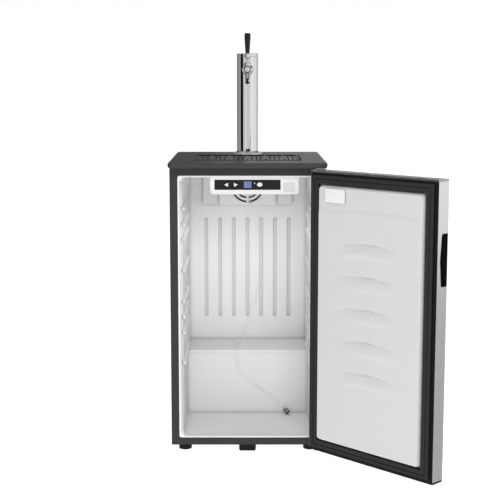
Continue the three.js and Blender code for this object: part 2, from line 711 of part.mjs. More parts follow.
function plateauSolid(inset) {
  const edge = GASKET.to + 0.7 + PLATEAU.draft + inset;
  const { left, right, bottom, top, inner } = DOOR;
  const shape = roundedRectangle(left + edge, right - edge, bottom + edge, top - edge, 6);
  const { rise, draft } = PLATEAU;
  const bevel = { bevelEnabled: true, bevelSize: draft, bevelThickness: rise + 2, bevelSegments: 1 };
  const face = inner + PLATEAU.rise - inset;
  const block = pushed(shape, face - PLATEAU.rise - 2 - GAP, face - PLATEAU.rise - 2, bevel);
  return block.intersect(box(-300, 300, inner - 4 - (inset > 0 ? 9 : 0), 90, 0, 900));
}

// A shallow raised crescent on the door liner, with its top edge arched.
function crescent(z, half, rise) {
  const middle = (DOOR.left + DOOR.right) / 2;
  const shape = new THREE.Shape();
  shape.moveTo(middle - half, z);
  shape.quadraticCurveTo(middle, z + 2 * rise, middle + half, z);
  shape.quadraticCurveTo(middle, z - 4 * rise, middle - half, z);
  const face = DOOR.inner + PLATEAU.rise;
  return pushed(shape, face - 1, face + 1.2, { curveSegments: 10 });
}

function makeDoorLiner() {
  let liner = cut(plateauSolid(0), plateauSolid(2));
  for (let i = 0; i < 5; i += 1) liner = join(liner, crescent(258 + i * 91, 96, 8));
  return liner;
}

function makeDoorCap(z0, z1) {
  const { left, right, inner, outer } = DOOR;
  const slab = raised(roundedRectangle(left, right, outer, inner, 2.5), z0, z1);
  return cut(slab, rod([HINGE.x, HINGE.y, z0 - 5], [HINGE.x, HINGE.y, z1 + 5], 7.3));
}

function makeDoorBush(z0, z1) {
  const bush = rod([HINGE.x, HINGE.y, z0], [HINGE.x, HINGE.y, z1], 7);
  return cut(bush, rod([HINGE.x, HINGE.y, z0 - 5], [HINGE.x, HINGE.y, z1 + 5], 4.3));
}

function makeDoor() {
  const { inner, bottom, top } = DOOR;
  piece('door_skin', makeDoorSkin(), stainless, closedDoor);
  piece('door_top_cap', makeDoorCap(top - DOOR_CAP, top), stainless, closedDoor);
  piece('door_bottom_cap', makeDoorCap(bottom, bottom + DOOR_CAP), blackPlastic, closedDoor);
  piece('door_foam', makeDoorFoam(), foamPlastic, closedDoor);
  const frame = borderRing(DOOR_CAP + GAP, GASKET.to + GAP, inner - 4, inner, 3);
  piece('door_frame', frame, blackPlastic, closedDoor);
  const base = borderRing(GASKET.from + 3, GASKET.to, inner + GAP, GASKET.face - 3, 6);
  const head = borderRing(GASKET.from, GASKET.to, GASKET.face - 4, GASKET.face, 8);
  piece('door_gasket', join(base, head), rubber, closedDoor);
  piece('door_liner', makeDoorLiner(), linerPlastic, closedDoor);
  const face = inner + PLATEAU.rise + GAP;
  const plate = pushed(roundedRectangle(83, 155, 735, 774, 3), face, face + 1.6);
  piece('door_liner_plate', plate, panelPlastic, closedDoor);
  piece('pocket_handle', makeGripInsert(), blackPlastic, closedDoor);
  piece('upper_door_bush', makeDoorBush(809, top), whiteKey, closedDoor);
  piece('lower_door_bush', makeDoorBush(bottom - 2.3, 15), whiteKey, closedDoor);
}

// ---- beer tower ------------------------------------------------------------------------

function ring(inner, outer, z0, z1, sides = 24) {
  const { y } = TOWER;
  return cut(rod([0, y, z0], [0, y, z1], outer, sides), rod([0, y, z0 - 5], [0, y, z1 + 5], inner, sides));
}

function makeTower() {
  const { y, radius, collar, flange, base, top } = TOWER;
  const deck = WORKTOP.top;
  const cap = top - 9.8;
  const foot = [
    [26, deck + GAP], [flange, deck + GAP], [flange, deck + 3], [flange - 1.5, deck + 4.4],
    [collar + 0.5, deck + 4.6], [collar, base - 1.5], [collar - 1.2, base - GAP],
    [26, base - GAP], [26, deck + GAP],
  ];
  let flangePlate = turned(foot, [0, y, 0], 28);
  for (let i = 0; i < 4; i += 1) {
    const angle = Math.PI / 4 + i * Math.PI / 2;
    const at = [40.8 * Math.cos(angle), y + 40.8 * Math.sin(angle)];
    flangePlate = join(flangePlate, rod([...at, deck + 3], [...at, deck + 6], 2.8, 8));
  }
  piece('tower_flange', flangePlate, chrome);
  const shankHole = rod([0, y - 60, FAUCET.z], [0, y, FAUCET.z], 11.6);
  piece('tower_column', cut(ring(radius - 1.5, radius, base, cap, 28), shankHole), chrome);
  const lid = [[0, cap + GAP], [radius, cap + GAP], [radius, top - 2], [radius - 2, top], [0, top]];
  const spigot = ring(radius - 5, radius - 1.9, cap - 8, cap + 2, 28);
  piece('tower_cap', join(turned(lid, [0, y, 0], 28), spigot), chrome);
}

// ---- faucet ----------------------------------------------------------------------------

const shankY = (distance) => TOWER.y - distance;

function makeShank() {
  const { z } = FAUCET;
  const front = shankY(57);
  const saddle = rod([0, TOWER.y, z - 60], [0, TOWER.y, z + 60], TOWER.radius + GAP, 64);
  const bore = rod([0, front - 9, z], [0, TOWER.y + 9, z], 5, 16);
  piece('faucet_shank', cut(rod([0, front, z], [0, shankY(4), z], 11), bore), chrome);
  const shankBore = rod([0, front - 20, z], [0, TOWER.y, z], 11.3);
  const flange = cut(rod([0, shankY(43), z], [0, shankY(26), z], 17, 24), saddle, shankBore);
  piece('shank_flange', flange, chrome);
  const nut = cut(rod([0, shankY(26.5), z], [0, shankY(19), z], 14, 6), shankBore);
  piece('shank_nut', nut, zincSteel);
  const coupling = cut(rod([0, shankY(56), z], [0, shankY(46), z], 15, 20), shankBore);
  piece('coupling_nut', coupling, chrome);
}

function makeFaucet() {
  const { y, z, pivot } = FAUCET;
  const rear = shankY(57) - GAP;
  const profile = [[0, y - 26], [6.5, y - 26], [7, y - 22], [11, y - 20], [11, y + 8], [9, y + 14],
    [9, rear - 5], [13.5, rear - 4], [13.5, rear], [0, rear]];
  const barrel = turned(profile, [0, 0, z], 20, true);
  const bend = [[0, y - 12, z - 16], [0, y - 18, z - 30]];
  const spout = hose([[0, y - 8, z - 4], ...bend, [0, y - 20, z - 43]], 7.2, 12, 7);
  const spoutBore = hose([[0, y - 8, z], ...bend, [0, y - 20.2, z - 46]], 5, 8, 7);
  const neck = rod([0, y, z], [0, y, z + 11], 9, 20);
  const bore = rod([0, y - 17, z], [0, rear + 5, z], 5.6, 20);
  const well = rod([0, y, z], [0, y, z + 20], 6.2, 20);
  piece('faucet_body', cut(join(barrel, spout, neck), spoutBore, bore, well), chrome);
  const bonnet = [
    [7.4, z + 11.3], [10, z + 11.3], [10, z + 18],
    [8.6, pivot + 6.8], [7.4, pivot + 6.8], [7.4, z + 11.3],
  ];
  piece('faucet_bonnet', turned(bonnet, [0, y, 0], 20), chrome);
  const plunger = join(
    rod([0, y + 2.6, z], [0, rear + 4, z], 2.6, 14),
    rod([0, rear - 6, z], [0, rear + 2, z], 4.6, 16),
  );
  piece('faucet_plunger', plunger, stainless);
  const stem = [
    [0, z - 2], [2.1, z - 1.5], [2.1, pivot - 5], [5.4, pivot - 2], [5.4, pivot + 2],
    [3.6, pivot + 5], [3.6, pivot + 16], [6.5, pivot + 17], [9.5, pivot + 30], [9.5, pivot + 33],
    [7, pivot + 34.5], [0, pivot + 34.5],
  ];
  piece('faucet_lever', turned(stem, [0, y, 0], 18), chrome);
  const base = pivot + 34.8;
  const knob = [[0, base], [6.2, base], [6.6, base + 4], [9.4, base + 46], [9.1, base + 48], [9.5, base + 50],
    [9.3, base + 56], [7.5, base + 59.6], [0, base + 60.5]];
  piece('tap_handle', turned(knob, [0, y, 0], 20), glossBlack);
}

// ---- beer line -------------------------------------------------------------------------

const LINE_EXIT = LINER.roof - 3.3;

// The free hose, from under the liner roof, over the compressor step and down to the floor.
const LINE_ROUTE = [
  [0, 355.4, LINE_EXIT], [0, 355.4, 770], [1.5, 355.2, 745], [6, 354.5, 714], [13.5, 353, 681],
  [23.5, 351.5, 651], [33, 350.5, 622], [40, 350, 592], [44, 350, 559], [45, 351, 525],
  [44.2, 353, 491], [41.5, 356, 457], [37, 360.5, 423], [30.5, 366, 389], [21.5, 371, 356],
  [10.5, 374, 326], [-0.5, 372.5, 297], [-11.5, 363.5, 270], [-20.5, 347, 249.5], [-27, 326.5, 239.5],
  [-32, 307, 240], [-35.3, 291, 245], [-37, 275.5, 248], [-37.8, 259.6, 245.4], [-37.8, 245.6, 237.3],
  [-37, 235.2, 224.7], [-35.2, 229.6, 209], [-31.2, 228.7, 189.5], [-23.5, 230.5, 169], [-10, 234, 149],
  [10.5, 237.6, 129], [36, 240.3, 109.5], [61, 242, 91.2], [81.2, 242, 75.6], [95.8, 240, 62.5],
  [106.5, 236, 52.9], [115, 231, 45.8],
];
const LINE_END = LINE_ROUTE[LINE_ROUTE.length - 1];
const LINE_END_DIRECTION = new THREE.Vector3(0.68, -0.42, -0.6).normalize();

function alongEnd(distance) {
  const offset = LINE_END_DIRECTION.clone().multiplyScalar(distance);
  return [LINE_END[0] + offset.x, LINE_END[1] + offset.y, LINE_END[2] + offset.z];
}

function makeBeerLine() {
  const { y } = TOWER;
  const roof = LINER.roof;
  const grommet = join(
    cut(rod([0, y, roof - 3], [0, y, roof - GAP], 13), rod([0, y, 0], [0, y, 900], LINE_RADIUS + 0.3, 16)),
    cut(rod([0, y, roof - 1], [0, y, roof + 2.2], 10), rod([0, y, 0], [0, y, 900], LINE_RADIUS + 0.3, 16)),
  );
  piece('line_grommet', grommet, rubber);
  const riser = [
    [0, shankY(3), FAUCET.z], [0, y + 1, FAUCET.z], [0, y + 8, FAUCET.z - 4],
    [0, y + 11, FAUCET.z - 14], [0, y + 9, 1070], [0, y + 2, 1030],
    [0, y, 980], [0, y, 900], [0, y, roof - 3],
  ];
  piece('tower_line', hose(riser, LINE_RADIUS, 8, 14), vinyl);
  piece('beer_line', hose(LINE_ROUTE, LINE_RADIUS, 8, 48), vinyl);
  const connector = join(
    rod(alongEnd(GAP + 0.2), alongEnd(9), 4.2, 16),
    rod(alongEnd(6), alongEnd(10), 5.8, 16),
    rod(alongEnd(9.3), alongEnd(19.5), 8, 6),
  );
  piece('line_connector', connector, zincSteel);
}

// ---- assembly --------------------------------------------------------------------------

makeCabinet();
makeTop();
makeEvaporator();
makeControlPanel();
makeRefrigeration();
makeHinges();
makeDoor();
makeTower();
makeShank();
makeFaucet();
makeBeerLine();

export default kegerator;
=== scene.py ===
import json
import math

import bmesh
import bpy
from mathutils import Matrix, Vector


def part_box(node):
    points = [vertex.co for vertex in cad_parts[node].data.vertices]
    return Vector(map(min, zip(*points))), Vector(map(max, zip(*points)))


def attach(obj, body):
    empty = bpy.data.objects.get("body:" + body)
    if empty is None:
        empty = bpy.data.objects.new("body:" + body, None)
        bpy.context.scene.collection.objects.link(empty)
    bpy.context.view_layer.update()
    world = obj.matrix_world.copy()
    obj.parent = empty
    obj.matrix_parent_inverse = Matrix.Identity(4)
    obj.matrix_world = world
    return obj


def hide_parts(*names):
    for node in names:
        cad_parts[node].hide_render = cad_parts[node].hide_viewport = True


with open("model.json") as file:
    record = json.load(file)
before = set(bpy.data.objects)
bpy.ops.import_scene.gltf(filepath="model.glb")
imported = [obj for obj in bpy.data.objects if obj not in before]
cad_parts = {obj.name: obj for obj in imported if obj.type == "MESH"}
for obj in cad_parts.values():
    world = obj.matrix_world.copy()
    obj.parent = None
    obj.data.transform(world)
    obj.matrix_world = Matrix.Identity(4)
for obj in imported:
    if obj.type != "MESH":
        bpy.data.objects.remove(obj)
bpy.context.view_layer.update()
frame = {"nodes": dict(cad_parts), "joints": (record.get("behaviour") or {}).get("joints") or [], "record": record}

# Looks of the kegerator. Lengths in the tables below are millimetres in the cabinet's own frame:
# x right from the middle, y back from the cabinet's front plane, z up from its bottom edge.
# place() turns them into the row frame's metres.

SHIFT = Vector((0, -25, 20.5))
MM = 0.001


def place(x, y, z):
    return (Vector((x, y, z)) + SHIFT) * MM


# ---- camera ----------------------------------------------------------------------------

camera_data = bpy.data.cameras.new("camera")
camera_data.lens = 86.724
camera_data.sensor_width = 36
camera_data.clip_end = 50
camera = bpy.data.objects.new("camera", camera_data)
camera.location = (0, -3.44678, 1.111757)
camera.rotation_euler = (math.radians(81.698), 0, 0)
bpy.context.scene.collection.objects.link(camera)
bpy.context.scene.camera = camera
bpy.context.scene.view_settings.view_transform = "Standard"

# ---- materials -------------------------------------------------------------------------

NOISE_ROUGHNESS = 0.55
PALE = 0.3
PALE_SPECULAR, DARK_SPECULAR = 0.5, 0.22



class Look:
    """A Principled material whose colour, roughness and relief vary over the surface."""

    def __init__(self, name, color, roughness, metallic=0.0, **sockets):
        self.material = bpy.data.materials.new("look_" + name)
        self.material.use_nodes = True
        self.tree = self.material.node_tree
        self.shader = self.tree.nodes["Principled BSDF"]
        self.color = (*color, 1)
        self.set("Base Color", self.color)
        self.set("Roughness", roughness)
        self.set("Metallic", metallic)
        for key, value in sockets.items():
            self.set(key.replace("_", " "), value)
        self.normal = None

    def set(self, socket, value):
        self.shader.inputs[socket].default_value = value

    def node(self, kind, **settings):
        made = self.tree.nodes.new(kind)
        for key, value in settings.items():
            setattr(made, key, value)
        return made

    def link(self, source, target):
        self.tree.links.new(source, target)

    def noise(self, scale, stretch=(1, 1, 1), detail=3.0):
        where = self.node("ShaderNodeTexCoord")
        mapping = self.node("ShaderNodeMapping")
        mapping.inputs["Scale"].default_value = stretch
        texture = self.node("ShaderNodeTexNoise")
        texture.inputs["Scale"].default_value = scale
        texture.inputs["Detail"].default_value = detail
        texture.inputs["Roughness"].default_value = NOISE_ROUGHNESS
        self.link(where.outputs["Object"], mapping.inputs["Vector"])
        self.link(mapping.outputs["Vector"], texture.inputs["Vector"])
        return texture.outputs["Fac"]

    def tint(self, scale, amount, stretch=(1, 1, 1)):
        """Colour drifts by that share either side of the base colour."""
        mix = self.node("ShaderNodeMix", data_type="RGBA")
        low, high = 1 - amount, 1 + amount
        mix.inputs["A"].default_value = [min(1, c * low) for c in self.color[:3]] + [1]
        mix.inputs["B"].default_value = [min(1, c * high) for c in self.color[:3]] + [1]
        self.link(self.noise(scale, stretch), mix.inputs["Factor"])
        self.link(mix.outputs["Result"], self.shader.inputs["Base Color"])
        return self

    def painted_crevice_shade(self, reach, depth):
        """Painted shade: ambient occlusion darkens the colour in corners and grooves narrower than reach metres,
        down to that share.
        """
        cover = self.node("ShaderNodeAmbientOcclusion", samples=8)
        cover.inputs["Distance"].default_value = reach
        shade = self.node("ShaderNodeMapRange")
        shade.inputs["From Min"].default_value = 0.35
        shade.inputs["From Max"].default_value = 0.95
        shade.inputs["To Min"].default_value = depth
        self.link(cover.outputs["AO"], shade.inputs["Value"])
        mix = self.node("ShaderNodeMix", data_type="RGBA", blend_type="MULTIPLY")
        mix.inputs["Factor"].default_value = 1.0
        self.link(self.shader.inputs["Base Color"].links[0].from_socket, mix.inputs["A"])
        self.link(shade.outputs["Result"], mix.inputs["B"])
        self.link(mix.outputs["Result"], self.shader.inputs["Base Color"])
        return self

    def polish(self, scale, low, high, stretch=(1, 1, 1)):
        """Roughness drifts between two values."""
        ramp = self.node("ShaderNodeMapRange")
        ramp.inputs["From Min"].default_value = 0.3
        ramp.inputs["From Max"].default_value = 0.7
        ramp.inputs["To Min"].default_value = low
        ramp.inputs["To Max"].default_value = high
        self.link(self.noise(scale, stretch), ramp.inputs["Value"])
        self.link(ramp.outputs["Result"], self.shader.inputs["Roughness"])
        return self

    def relief(self, scale, depth, stretch=(1, 1, 1), strength=1.0, detail=3.0):
        """Fine relief of that depth in metres; several add up."""
        bump = self.node("ShaderNodeBump")
        bump.inputs["Strength"].default_value = strength
        bump.inputs["Distance"].default_value = depth
        self.link(self.noise(scale, stretch, detail), bump.inputs["Height"])
        if self.normal:
            self.link(self.normal, bump.inputs["Normal"])
        self.normal = bump.outputs["Normal"]
        self.link(self.normal, self.shader.inputs["Normal"])
        return self


def moulded(name, color, roughness, grain=2600, depth=0.00006):
    """Injection-moulded plastic with a fine grain."""
    specular = PALE_SPECULAR if color[0] > PALE else DARK_SPECULAR
    look = Look(name, color, roughness, Specular_IOR_Level=specular)
    look.tint(9, 0.06).polish(60, roughness - 0.06, roughness + 0.07)
    return look.relief(grain, depth).material


def formed(name, color, roughness):
    """Vacuum-formed white sheet: glossy, very slightly wavy, with painted shade in its corners and grooves."""
    look = Look(name, color, roughness, Specular_IOR_Level=0.45, Coat_Weight=0.12, Coat_Roughness=0.22)
    look.tint(3.5, 0.018).polish(14, roughness - 0.07, roughness + 0.08).painted_crevice_shade(0.014, 0.70)
    return look.relief(7, 0.0006, strength=0.35).relief(1500, 0.00002, strength=0.5).material


def powder(name, color, roughness):
    """Powder-coated sheet steel with orange peel."""
    look = Look(name, color, roughness, Specular_IOR_Level=0.26)
    look.tint(5, 0.025).polish(35, roughness - 0.04, roughness + 0.04)
    return look.relief(700, 0.00008, strength=0.6).relief(2800, 0.00002, strength=0.5).material


def brushed(name, color, roughness, stretch, lines=900):
    """Steel brushed along the axis with the smallest stretch."""
    look = Look(name, color, roughness, 1.0)
    look.tint(lines / 3, 0.07, stretch).polish(lines, roughness - 0.08, roughness + 0.1, stretch)
    return look.relief(lines, 0.00003, stretch, strength=0.5).material


def polished(name, color, roughness, depth=0.000008):
    """Bright plating with faint swirls of handling."""
    look = Look(name, color, roughness, 1.0)
    look.tint(18, 0.02).polish(90, roughness * 0.6, roughness * 1.7)
    return look.relief(420, depth, strength=0.4).material


def sponge(name, color):
    """Poured foam: fine open cells."""
    look = Look(name, color, 0.9)
    look.tint(120, 0.12).polish(200, 0.8, 0.98)
    return look.relief(900, 0.0004, detail=5).material


def glowing(name, color, strength, roughness):
    """A lit display behind smooth plastic."""
    look = Look(name, color, roughness, Emission_Color=(*color, 1), Emission_Strength=strength)
    look.tint(240, 0.08).polish(300, roughness, roughness + 0.1)
    return look.relief(2000, 0.00001).material


def clear(name, color, roughness, alpha):
    """Thin clear plastic, as a faint see-through film."""
    look = Look(name, color, roughness, Alpha=alpha)
    look.tint(40, 0.03).polish(150, roughness - 0.05, roughness + 0.06)
    return look.relief(260, 0.0001, strength=0.4).material


LOOKS = {
    "cabinet_paint": powder("cabinet_paint", (0.041, 0.0415, 0.0425), 0.46),
    "worktop_paint": powder("worktop_paint", (0.050, 0.051, 0.053), 0.36),
    "foam": sponge("foam", (0.05, 0.048, 0.042)),
    "liner_plastic": formed("liner_plastic", (0.85, 0.85, 0.845), 0.38),
    "panel_plastic": moulded("panel_plastic", (0.83, 0.83, 0.825), 0.34, 3200, 0.00002),
    "black_plastic": moulded("black_plastic", (0.011, 0.011, 0.012), 0.45),
    "gloss_black": polished("gloss_black_base", (0.012, 0.012, 0.013), 0.12),
    "zinc_steel": brushed("zinc_steel", (0.55, 0.56, 0.57), 0.34, (1, 1, 0.15), 700),
    "stainless_steel": brushed("stainless_steel", (0.87, 0.87, 0.87), 0.3, (1, 1, 0.02), 1100),
    "cap_metal": brushed("cap_metal", (0.52, 0.52, 0.53), 0.32, (0.05, 0.05, 1), 900),
    "chrome": polished("chrome", (0.80, 0.80, 0.81), 0.045, 0.0000004),
    "rubber": moulded("rubber", (0.024, 0.024, 0.025), 0.72, 1800, 0.0001),
    "gasket_rubber": moulded("gasket_rubber", (0.026, 0.027, 0.029), 0.5, 2200, 0.00004),
    "white_key": moulded("white_key", (0.86, 0.86, 0.87), 0.3, 3000, 0.00001),
    # door_white is the liner's white plastic made darker: painted shade for the open door, which faces away from
    # the lights.
    "door_white": formed("door_white", (0.645, 0.645, 0.64), 0.4),
    # dark_zinc darkens the line fitting's rims: painted dark reflection.
    "dark_zinc": polished("dark_zinc", (0.05, 0.05, 0.052), 0.3),
    "display": glowing("display", (0.10, 0.12, 0.26), 0.65, 0.12),
    "pit_black": moulded("pit_black", (0.004, 0.004, 0.0045), 0.6),
    "lens": moulded("lens", (0.70, 0.70, 0.70), 0.2, 3000, 0.00001),
    "circuit_board": moulded("circuit_board", (0.03, 0.16, 0.07), 0.45, 900, 0.00008),
    "compressor_black": powder("compressor_black", (0.014, 0.014, 0.015), 0.34),
    "vinyl": clear("vinyl", (0.66, 0.67, 0.66), 0.25, 0.09),
    "aluminium": brushed("aluminium", (0.68, 0.69, 0.70), 0.36, (0.04, 1, 1), 800),
}
# Glossy black plastic, so not metallic like the other polished looks.
gloss = LOOKS["gloss_black"].node_tree.nodes["Principled BSDF"]
gloss.inputs["Metallic"].default_value = 0
gloss.inputs["Specular IOR Level"].default_value = 0.25

# ---- carried-over CAD nodes ------------------------------------------------------------

SHARP_ANGLE = math.radians(32)
WELD_DISTANCE = 0.00001
BEVEL_SEGMENTS = 2


def smoothing_group():
    """Geometry nodes that shade smooth across edges flatter than the limit."""
    group = bpy.data.node_groups.new("smooth_by_angle", "GeometryNodeTree")
    face = group.interface
    face.new_socket("Geometry", in_out="INPUT", socket_type="NodeSocketGeometry")
    limit = face.new_socket("Limit", in_out="INPUT", socket_type="NodeSocketFloat")
    limit.default_value = SHARP_ANGLE
    face.new_socket("Geometry", in_out="OUTPUT", socket_type="NodeSocketGeometry")
    nodes, links = group.nodes, group.links
    start, end = nodes.new("NodeGroupInput"), nodes.new("NodeGroupOutput")
    bare = nodes.new("GeometryNodeRemoveAttribute")
    bare.inputs["Name"].default_value = "custom_normal"
    angle = nodes.new("GeometryNodeInputMeshEdgeAngle")
    flat = nodes.new("FunctionNodeCompare")
    flat.operation = "LESS_EQUAL"
    edges, faces = nodes.new("GeometryNodeSetShadeSmooth"), nodes.new("GeometryNodeSetShadeSmooth")
    edges.domain, faces.domain = "EDGE", "FACE"
    links.new(start.outputs["Geometry"], bare.inputs["Geometry"])
    links.new(angle.outputs["Unsigned Angle"], flat.inputs["A"])
    links.new(start.outputs["Limit"], flat.inputs["B"])
    links.new(bare.outputs["Geometry"], edges.inputs["Geometry"])
    links.new(flat.outputs["Result"], edges.inputs["Shade Smooth"])
    links.new(edges.outputs["Geometry"], faces.inputs["Geometry"])
    links.new(faces.outputs["Geometry"], end.inputs["Geometry"])
    return group


SMOOTHING = smoothing_group()


def soften(piece, width=0.0):
    """Rounds a piece's hard edges by width metres and shades it smooth, with modifiers only."""
    weld = piece.modifiers.new("weld", "WELD")
    weld.merge_threshold = WELD_DISTANCE
    if width:
        bevel = piece.modifiers.new("bevel", "BEVEL")
        bevel.width = width
        bevel.segments = BEVEL_SEGMENTS
        bevel.limit_method = "ANGLE"
        bevel.angle_limit = SHARP_ANGLE
        bevel.use_clamp_overlap = True
        bevel.miter_outer = "MITER_ARC"
    smooth = piece.modifiers.new("smooth", "NODES")
    smooth.node_group = SMOOTHING
    if width:
        piece.modifiers.new("weights", "WEIGHTED_NORMAL").keep_sharp = True


SLOT_OF = {row["node"]: row["material_slot"] for row in frame["record"]["subparts"]}

# How wide the hard edges of a node are rounded, in metres.
EDGE = {
    "cabinet_shell": 0.0012, "worktop": 0.0008, "rear_cover": 0.0004, "base_frame": 0.0004,
    "front_support_block": 0.0015, "control_housing": 0.0015, "control_fascia": 0.0003,
    "drip_tray": 0.0006, "drip_grate": 0.0004, "evaporator_cover": 0.0025, "door_skin": 0.0002,
    "door_top_cap": 0.0012, "door_bottom_cap": 0.0012, "door_frame": 0.001,
    "upper_hinge_bracket": 0.0006, "lower_hinge_bracket": 0.0006,
    "inner_liner": 0.0009, "interior_light_lens": 0.0008, "door_liner_plate": 0.0005,
    "display_window": 0.0003, "down_button": 0.0003, "up_button": 0.0003, "power_button": 0.0004,
}

# Nodes whose look differs from their slot's.
OWN_LOOK = {"drip_grate": "worktop_paint", "drip_tray": "pit_black", "interior_light_lens": "lens"}

for name, node in frame["nodes"].items():
    material = LOOKS[OWN_LOOK.get(name, SLOT_OF[name])]
    if not node.data.materials:
        node.data.materials.append(material)
    for i in range(len(node.data.materials)):
        node.data.materials[i] = material
    soften(node, EDGE.get(name, 0.0))

# ---- mesh building ---------------------------------------------------------------------

ARC_STEPS = 4
EDGE_SHARE = 0.48
NEARLY_STRAIGHT = 3.0
SAME_POINT = 1e-6
SMALLEST_RADIUS = 1e-4


def finish_piece(name, body, material_slot, mesh, *nodes, material=None):
    """Puts a piece on its body, in place of the CAD nodes named, with its slot's look or its own."""
    piece = bpy.data.objects.new(name, mesh)
    bpy.context.scene.collection.objects.link(piece)
    mesh.materials.append(material or LOOKS[material_slot])
    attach(piece, body)
    if nodes:
        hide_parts(*nodes)
    soften(piece)
    return piece


def rounded(points, radius):
    """The same profile with its inner corners rounded; points are [a, b] pairs."""
    points = [Vector(p) for p in points]
    made = [points[0]]
    for before, corner, after in zip(points, points[1:], points[2:]):
        one, two = before - corner, after - corner
        if one.length < SAME_POINT or two.length < SAME_POINT or one.angle(two) > NEARLY_STRAIGHT:
            made.append(corner)
            continue
        turn = (math.pi - one.angle(two)) / 2
        longest = EDGE_SHARE * min(one.length, two.length)
        back = min(radius * math.tan(turn), longest)
        start, end = corner + one.normalized() * back, corner + two.normalized() * back
        for i in range(ARC_STEPS + 1):
            t = i / ARC_STEPS
            made.append(start.lerp(corner, t).lerp(corner.lerp(end, t), t))
    made.append(points[-1])
    return made


def ring_mesh(shape, rings, close_along=False):
    """Skin over closed rings of points, each as long as the next; the ends are capped unless they meet."""
    count = len(rings[0])
    vertices = [shape.verts.new(p) for ring in rings for p in ring]
    steps = len(rings) if close_along else len(rings) - 1
    for i in range(steps):
        j = (i + 1) % len(rings)
        for k in range(count):
            m = (k + 1) % count
            corners = [vertices[i * count + k], vertices[i * count + m],
                       vertices[j * count + m], vertices[j * count + k]]
            shape.faces.new(corners)
    if not close_along:
        shape.faces.new(list(reversed(vertices[:count])))
        shape.faces.new(vertices[-count:])


def to_mesh(name, shape):
    """Cleans a shape and turns it into a mesh."""
    bmesh.ops.remove_doubles(shape, verts=shape.verts, dist=1e-7)
    bmesh.ops.dissolve_degenerate(shape, edges=shape.edges, dist=1e-8)
    bmesh.ops.recalc_face_normals(shape, faces=shape.faces)
    mesh = bpy.data.meshes.new(name)
    shape.to_mesh(mesh)
    shape.free()
    return mesh


def turn_into(shape, profile, at, axis=(0, 0, 1), segments=64, radius=0.6):
    """Adds a turned solid: profile holds [radius, height] pairs in mm along the axis from at."""
    outline = rounded(profile, radius) if radius else [Vector(p) for p in profile]
    tilt = Vector(axis).normalized().to_track_quat("Z", "Y").to_matrix()
    rings = []
    for r, h in outline:
        reach = max(r, SMALLEST_RADIUS)
        ring = []
        for k in range(segments):
            a = 2 * math.pi * k / segments
            ring.append(at + tilt @ Vector((reach * math.cos(a), reach * math.sin(a), h)) * MM)
        rings.append(ring)
    closed = (Vector(profile[0]) - Vector(profile[-1])).length < SAME_POINT
    if closed:
        rings = rings[:-1]
    ring_mesh(shape, rings, close_along=closed)


def turned(name, body, slot, profile, at, *nodes, axis=(0, 0, 1), segments=64, radius=0.6):
    """A piece that is one turned solid."""
    shape = bmesh.new()
    turn_into(shape, profile, at, axis, segments, radius)
    return finish_piece(name, body, slot, to_mesh(name, shape), *nodes)


CURVE_STEPS = 8


def catmull(points):
    """Centripetal Catmull-Rom curve through the points."""
    points = [Vector(p) for p in points]
    padded = [points[0] * 2 - points[1], *points, points[-1] * 2 - points[-2]]
    made = []
    for p0, p1, p2, p3 in zip(padded, padded[1:], padded[2:], padded[3:]):
        t1 = (p1 - p0).length ** 0.5
        t2 = t1 + (p2 - p1).length ** 0.5
        t3 = t2 + (p3 - p2).length ** 0.5
        for i in range(CURVE_STEPS):
            t = t1 + (t2 - t1) * i / CURVE_STEPS
            a1 = p0 * ((t1 - t) / t1) + p1 * (t / t1)
            a2 = p1 * ((t2 - t) / (t2 - t1)) + p2 * ((t - t1) / (t2 - t1))
            a3 = p2 * ((t3 - t) / (t3 - t2)) + p3 * ((t - t2) / (t3 - t2))
            b1 = a1 * ((t2 - t) / t2) + a2 * (t / t2)
            b2 = a2 * ((t3 - t) / (t3 - t1)) + a3 * ((t - t1) / (t3 - t1))
            made.append(b1 * ((t2 - t) / (t2 - t1)) + b2 * ((t - t1) / (t2 - t1)))
    made.append(points[-1])
    return made


def tube_into(shape, centres, radii, sides):
    """A round bar along the centres, with a radius at each of them."""
    up = Vector((1, 0, 0))
    rings = []
    for i, centre in enumerate(centres):
        along = (centres[min(i + 1, len(centres) - 1)] - centres[max(i - 1, 0)]).normalized()
        side = (up - along * up.dot(along)).normalized()
        other = along.cross(side)
        rings.append([centre + (side * math.cos(2 * math.pi * k / sides)
                                + other * math.sin(2 * math.pi * k / sides)) * radii[i]
                      for k in range(sides)])
    ring_mesh(shape, rings)


def box_into(shape, low, high):
    """Adds a box between two corners."""
    corners = [[(low, high)[c >> axis & 1][axis] for axis in range(3)] for c in range(8)]
    v = [shape.verts.new(p) for p in corners]
    for f in ((0, 2, 3, 1), (4, 5, 7, 6), (0, 1, 5, 4), (2, 6, 7, 3), (0, 4, 6, 2), (1, 3, 7, 5)):
        shape.faces.new([v[i] for i in f])


# ---- beer line -------------------------------------------------------------------------

LINE_RADIUS = 5.5
LINE_ROUTE = [
    (0, 355.4, 792.7), (0, 355.4, 770), (1.5, 355.2, 745), (6, 354.5, 714), (13.5, 353, 681),
    (23.5, 351.5, 651), (33, 350.5, 622), (40, 350, 592), (44, 350, 559), (45, 351, 525),
    (44.2, 353, 491), (41.5, 356, 457), (37, 360.5, 423), (30.5, 366, 389), (21.5, 371, 356),
    (10.5, 374, 326), (-0.5, 372.5, 297), (-11.5, 363.5, 270), (-20.5, 347, 249.5), (-27, 326.5, 239.5),
    (-32, 307, 240), (-35.3, 291, 245), (-37, 275.5, 248), (-37.8, 259.6, 245.4), (-37.8, 245.6, 237.3),
    (-37, 235.2, 224.7), (-35.2, 229.6, 209), (-31.2, 228.7, 189.5), (-23.5, 230.5, 169), (-10, 234, 149),
    (10.5, 237.6, 129), (36, 240.3, 109.5), (61, 242, 91.2), (81.2, 242, 75.6), (95.8, 240, 62.5),
    (106.5, 236, 52.9), (115, 231, 45.8),
]
LINE_END_DIRECTION = Vector((0.68, -0.42, -0.6)).normalized()

line_points = [place(*p) for p in catmull(LINE_ROUTE)]

